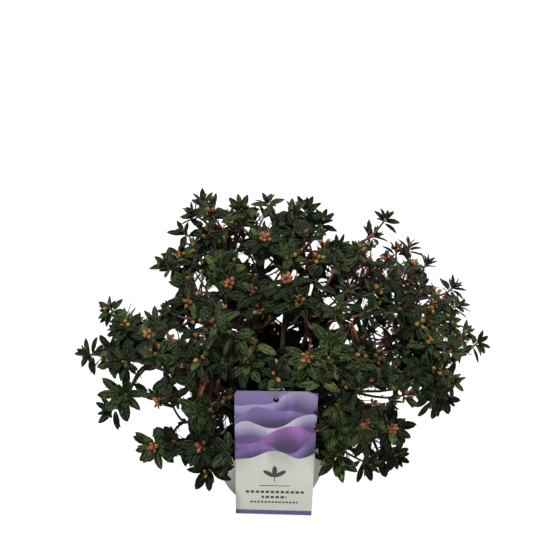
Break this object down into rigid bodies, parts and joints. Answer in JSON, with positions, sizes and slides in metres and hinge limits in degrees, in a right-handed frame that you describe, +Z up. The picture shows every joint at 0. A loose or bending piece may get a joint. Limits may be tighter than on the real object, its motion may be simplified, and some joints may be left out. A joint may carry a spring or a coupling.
{
  "type": "dwarf rhododendron in a pot",
  "caption": "Small-leaved dwarf evergreen shrub with a wide domed crown, in a round-bellied pot with a hang tag.",
  "frame": {"origin": "on the floor under the middle of the pot's flat foot", "axes": "+Z up, -Y towards the front where the tag hangs, +X to the right seen from the front"},
  "size_m": [0.4436, 0.3723, 0.3505],
  "materials": {
    "pot": "matt taupe grey",
    "potting_mix": "crumbly moist peat",
    "bark": "thin flaking bark",
    "leaves": "satin leaf",
    "tag_card": "printed plastic card",
    "tie_plastic": "moulded plastic"
  },
  "bodies": {
    "root": {"pot": "pot", "soil": "potting_mix", "trunk": "bark", "bough_front_1": "bark", "bough_high_1": "bark", "bough_high_2": "bark", "bough_high_3": "bark", "bough_high_4": "bark", "bough_high_5": "bark", "bough_high_6": "bark", "bough_high_7": "bark", "bough_low_1": "bark", "bough_low_2": "bark", "bough_low_3": "bark", "bough_low_4": "bark", "bough_low_5": "bark", "bough_low_6": "bark", "bough_low_7": "bark", "bough_low_8": "bark", "bough_skirt_1": "bark", "bough_skirt_2": "bark", "bough_skirt_3": "bark", "bough_skirt_4": "bark", "bough_skirt_5": "bark", "bough_skirt_6": "bark", "bough_skirt_7": "bark", "bough_top_1": "bark", "bough_top_2": "bark", "bough_top_3": "bark", "bough_top_4": "bark", "leaves_front_1": "leaves", "leaves_high_1": "leaves", "leaves_high_2": "leaves", "leaves_high_3": "leaves", "leaves_high_4": "leaves", "leaves_high_5": "leaves", "leaves_high_6": "leaves", "leaves_high_7": "leaves", "leaves_low_1": "leaves", "leaves_low_2": "leaves", "leaves_low_3": "leaves", "leaves_low_4": "leaves", "leaves_low_5": "leaves", "leaves_low_6": "leaves", "leaves_low_7": "leaves", "leaves_low_8": "leaves", "leaves_skirt_1": "leaves", "leaves_skirt_2": "leaves", "leaves_skirt_3": "leaves", "leaves_skirt_4": "leaves", "leaves_skirt_5": "leaves", "leaves_skirt_6": "leaves", "leaves_skirt_7": "leaves", "leaves_top_1": "leaves", "leaves_top_2": "leaves", "leaves_top_3": "leaves", "leaves_top_4": "leaves", "tag": "tag_card", "tie": "tie_plastic"}
  },
  "joints": []
}
